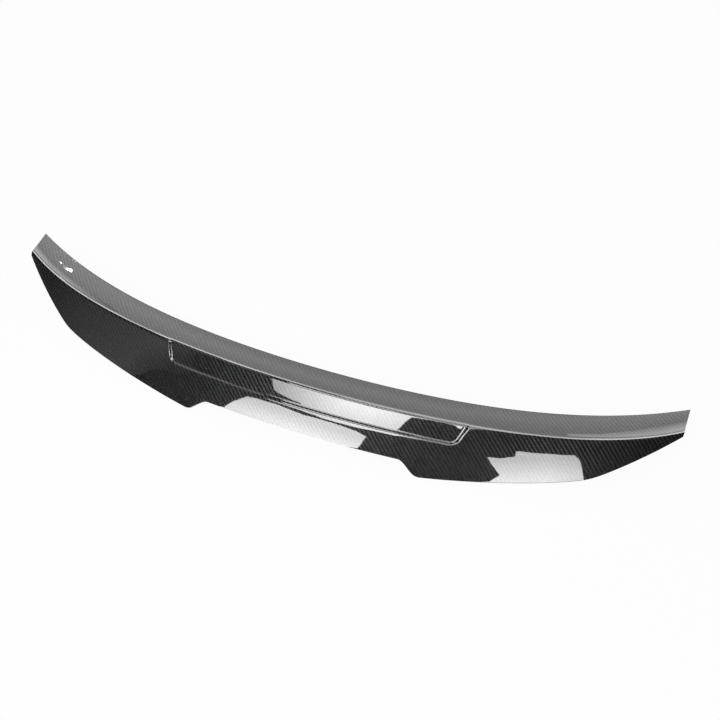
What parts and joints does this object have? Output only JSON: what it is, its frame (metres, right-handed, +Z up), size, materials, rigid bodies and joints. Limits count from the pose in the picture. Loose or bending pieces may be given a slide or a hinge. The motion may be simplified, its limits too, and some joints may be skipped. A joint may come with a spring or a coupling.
{
  "type": "car rear spoiler",
  "caption": "Ducktail boot-lid spoiler moulded as one thin carbon-fibre shell, with a raised lip, a sunk centre panel and a notched lower edge.",
  "frame": {"origin": "middle of the front edge, on the line where the shell sits on the boot lid", "axes": "+X across the car from tip to tip, +Y to the front of the car, +Z up; the rear face looks to -Y"},
  "size_m": [1.18, 0.2347, 0.0668],
  "materials": {
    "carbon_laminate": "black carbon-fibre twill under a glossy clear coat, matte laminate inside"
  },
  "bodies": {
    "root": {"spoiler_shell": "carbon_laminate"}
  },
  "joints": []
}
